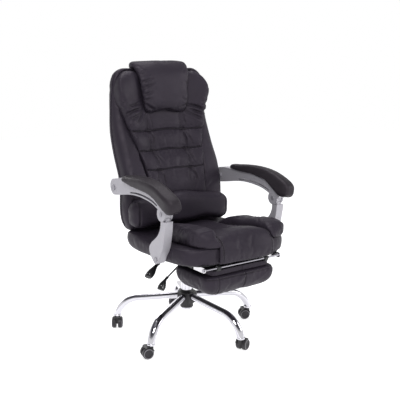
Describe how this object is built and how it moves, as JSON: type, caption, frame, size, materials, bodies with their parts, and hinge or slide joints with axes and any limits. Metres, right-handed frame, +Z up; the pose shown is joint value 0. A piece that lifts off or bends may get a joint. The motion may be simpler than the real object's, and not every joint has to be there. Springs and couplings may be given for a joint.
{
  "type": "reclining office chair",
  "caption": "High-backed swivel chair with quilted back, hinged folding armrests, gas column, swept star base on castors and a footrest that slides out and turns over.",
  "frame": {"origin": "on the floor, on the axis of the gas column", "axes": "+Z up; the sitter faces -Y and their right hand, on the lever side, is at -X; +X is the sitter's left"},
  "size_m": [0.6565, 0.7406, 1.18],
  "materials": {
    "chrome": "polished",
    "black_plastic": "satin",
    "wheel_nylon": "satin",
    "bright_steel": "bright",
    "black_steel": "satin black",
    "lever_plastic": "satin",
    "plywood": "raw, covered below with black cloth",
    "black_leather": "soft grained",
    "arm_silver": "matte silver",
    "arm_pad": "soft matte"
  },
  "bodies": {
    "base": {"base_hub": "black_plastic", "base_leg_1": "chrome", "base_leg_2": "chrome", "base_leg_3": "chrome", "base_leg_4": "chrome", "base_leg_5": "chrome", "column_tube": "chrome", "column_bush": "black_plastic", "thrust_bearing": "bright_steel"},
    "gas_rod": {"piston_rod": "bright_steel"},
    "seat_frame": {"gas_cylinder": "black_steel", "mechanism_housing": "black_steel", "mechanism_bolts": "bright_steel", "hinge_shaft": "bright_steel", "seat_board": "plywood", "seat_cushion": "black_leather", "seat_panel": "black_leather", "seat_bolster_left": "black_leather", "seat_bolster_right": "black_leather", "arm_foot_pins": "bright_steel", "footrest_guides": "black_steel"},
    "valve": {"valve_button": "bright_steel"},
    "height_control": {"height_lever": "black_steel", "height_paddle": "lever_plastic"},
    "recline_control": {"recline_lever": "black_steel", "recline_paddle": "lever_plastic"},
    "backrest": {"back_bracket": "black_steel", "back_shell": "black_leather", "back_cushion": "black_leather", "headrest_pillow": "black_leather", "lumbar_pillow": "black_leather", "arm_pivot_pins": "bright_steel"},
    "footrest_slider": {"footrest_rails": "bright_steel", "footrest_crossbar": "bright_steel"},
    "footrest_pad": {"footrest_brackets": "black_steel", "footrest_board": "plywood", "footrest_cushion": "black_leather"},
    "lower_arm_left": {"lower_arm_left": "arm_silver"},
    "upper_arm_left": {"upper_arm_left": "arm_silver", "arm_pad_left": "arm_pad", "knuckle_pin_left": "bright_steel"},
    "lower_arm_right": {"lower_arm_right": "arm_silver"},
    "upper_arm_right": {"upper_arm_right": "arm_silver", "arm_pad_right": "arm_pad", "knuckle_pin_right": "bright_steel"},
    "castor_1": {"castor_hood_1": "black_plastic"},
    "wheel_1_a": {"castor_wheel_1_a": "wheel_nylon"},
    "wheel_1_b": {"castor_wheel_1_b": "wheel_nylon"},
    "castor_2": {"castor_hood_2": "black_plastic"},
    "wheel_2_a": {"castor_wheel_2_a": "wheel_nylon"},
    "wheel_2_b": {"castor_wheel_2_b": "wheel_nylon"},
    "castor_3": {"castor_hood_3": "black_plastic"},
    "wheel_3_a": {"castor_wheel_3_a": "wheel_nylon"},
    "wheel_3_b": {"castor_wheel_3_b": "wheel_nylon"},
    "castor_4": {"castor_hood_4": "black_plastic"},
    "wheel_4_a": {"castor_wheel_4_a": "wheel_nylon"},
    "wheel_4_b": {"castor_wheel_4_b": "wheel_nylon"},
    "castor_5": {"castor_hood_5": "black_plastic"},
    "wheel_5_a": {"castor_wheel_5_a": "wheel_nylon"},
    "wheel_5_b": {"castor_wheel_5_b": "wheel_nylon"}
  },
  "joints": [
    {"name": "seat_swivel", "type": "hinge", "parent": "base", "child": "gas_rod", "pos_m": [0, 0, 0.2], "axis": [0, 0, 1], "continuous": true},
    {"name": "seat_height", "type": "slide", "parent": "gas_rod", "child": "seat_frame", "axis": [0, 0, 1], "range_m": [0, 0.08]},
    {"name": "valve_press", "type": "slide", "parent": "seat_frame", "child": "valve", "axis": [0, 0, -1], "range_m": [0, 0.0046], "stiffness_N_per_m": 200},
    {"name": "height_lever_lift", "type": "hinge", "parent": "seat_frame", "child": "height_control", "pos_m": [-0.02938, -0.01268, 0.4086], "axis": [-0.3961, 0.9182, 0], "range_deg": [0, 8], "stiffness_Nm_per_rad": 4, "springref_deg": -5.73},
    {"name": "recline_lever_lift", "type": "hinge", "parent": "seat_frame", "child": "recline_control", "pos_m": [-0.066, -0.1198, 0.389], "axis": [-0.287, 0.9579, 0], "range_deg": [0, 10], "stiffness_Nm_per_rad": 4, "springref_deg": -5.73},
    {"name": "recline", "type": "hinge", "parent": "seat_frame", "child": "backrest", "pos_m": [0, 0.102, 0.416], "axis": [-1, 0, 0], "range_deg": [0, 40]},
    {"name": "footrest_slide", "type": "slide", "parent": "seat_frame", "child": "footrest_slider", "axis": [0, -1, 0], "range_m": [0, 0.215]},
    {"name": "footrest_turn", "type": "hinge", "parent": "footrest_slider", "child": "footrest_pad", "pos_m": [0, -0.39, 0.4095], "axis": [-1, 0, 0], "range_deg": [0, 180]},
    {"name": "lower_arm_turn_left", "type": "hinge", "parent": "seat_frame", "child": "lower_arm_left", "pos_m": [0.277, -0.224, 0.432], "axis": [-1, 0, 0], "range_deg": [0, 50.66]},
    {"name": "knuckle_turn_left", "type": "hinge", "parent": "lower_arm_left", "child": "upper_arm_left", "pos_m": [0.277, -0.264, 0.616], "axis": [-1, 0, 0], "range_deg": [-46.54, 0]},
    {"name": "lower_arm_turn_right", "type": "hinge", "parent": "seat_frame", "child": "lower_arm_right", "pos_m": [-0.277, -0.224, 0.432], "axis": [-1, 0, 0], "range_deg": [0, 50.66]},
    {"name": "knuckle_turn_right", "type": "hinge", "parent": "lower_arm_right", "child": "upper_arm_right", "pos_m": [-0.277, -0.264, 0.616], "axis": [-1, 0, 0], "range_deg": [-46.54, 0]},
    {"name": "castor_swivel_1", "type": "hinge", "parent": "base", "child": "castor_1", "pos_m": [-0.27946, -0.15174, 0.06], "axis": [0, 0, 1], "continuous": true},
    {"name": "wheel_roll_1_a", "type": "hinge", "parent": "castor_1", "child": "wheel_1_a", "pos_m": [-0.29609, -0.1482, 0.024], "axis": [-0.2079, -0.9781, 0], "continuous": true},
    {"name": "wheel_roll_1_b", "type": "hinge", "parent": "castor_1", "child": "wheel_1_b", "pos_m": [-0.29609, -0.1482, 0.024], "axis": [-0.2079, -0.9781, 0], "continuous": true},
    {"name": "castor_swivel_2", "type": "hinge", "parent": "base", "child": "castor_2", "pos_m": [0.05795, -0.31267, 0.06], "axis": [0, 0, 1], "continuous": true},
    {"name": "wheel_roll_2_a", "type": "hinge", "parent": "castor_2", "child": "wheel_2_a", "pos_m": [0.0736, -0.30603, 0.024], "axis": [-0.3907, 0.9205, 0], "continuous": true},
    {"name": "wheel_roll_2_b", "type": "hinge", "parent": "castor_2", "child": "wheel_2_b", "pos_m": [0.0736, -0.30603, 0.024], "axis": [-0.3907, 0.9205, 0], "continuous": true},
    {"name": "castor_swivel_3", "type": "hinge", "parent": "base", "child": "castor_3", "pos_m": [0.31528, -0.04151, 0.06], "axis": [0, 0, 1], "continuous": true},
    {"name": "wheel_roll_3_a", "type": "hinge", "parent": "castor_3", "child": "wheel_3_a", "pos_m": [0.29941, -0.03542, 0.024], "axis": [-0.3584, -0.9336, 0], "continuous": true},
    {"name": "wheel_roll_3_b", "type": "hinge", "parent": "castor_3", "child": "wheel_3_b", "pos_m": [0.29941, -0.03542, 0.024], "axis": [-0.3584, -0.9336, 0], "continuous": true},
    {"name": "castor_swivel_4", "type": "hinge", "parent": "base", "child": "castor_4", "pos_m": [0.1369, 0.28702, 0.06], "axis": [0, 0, 1], "continuous": true},
    {"name": "wheel_roll_4_a", "type": "hinge", "parent": "castor_4", "child": "wheel_4_a", "pos_m": [0.12298, 0.29677, 0.024], "axis": [-0.5736, -0.8192, 0], "continuous": true},
    {"name": "wheel_roll_4_b", "type": "hinge", "parent": "castor_4", "child": "wheel_4_b", "pos_m": [0.12298, 0.29677, 0.024], "axis": [-0.5736, -0.8192, 0], "continuous": true},
    {"name": "castor_swivel_5", "type": "hinge", "parent": "base", "child": "castor_5", "pos_m": [-0.23067, 0.2189, 0.06], "axis": [0, 0, 1], "continuous": true},
    {"name": "wheel_roll_5_a", "type": "hinge", "parent": "castor_5", "child": "wheel_5_a", "pos_m": [-0.24042, 0.20497, 0.024], "axis": [0.8192, -0.5736, 0], "continuous": true},
    {"name": "wheel_roll_5_b", "type": "hinge", "parent": "castor_5", "child": "wheel_5_b", "pos_m": [-0.24042, 0.20497, 0.024], "axis": [0.8192, -0.5736, 0], "continuous": true}
  ],
  "couplings": [
    {"joint": "valve_press", "follows": "height_lever_lift", "m_per_rad": 0.032},
    {"joint": "footrest_turn", "follows": "footrest_slide", "rad_per_m": 14.61},
    {"joint": "lower_arm_turn_left", "follows": "recline", "ratio": 1.2641},
    {"joint": "knuckle_turn_left", "follows": "recline", "ratio": -1.1611},
    {"joint": "lower_arm_turn_right", "follows": "recline", "ratio": 1.2641},
    {"joint": "knuckle_turn_right", "follows": "recline", "ratio": -1.1611}
  ]
}
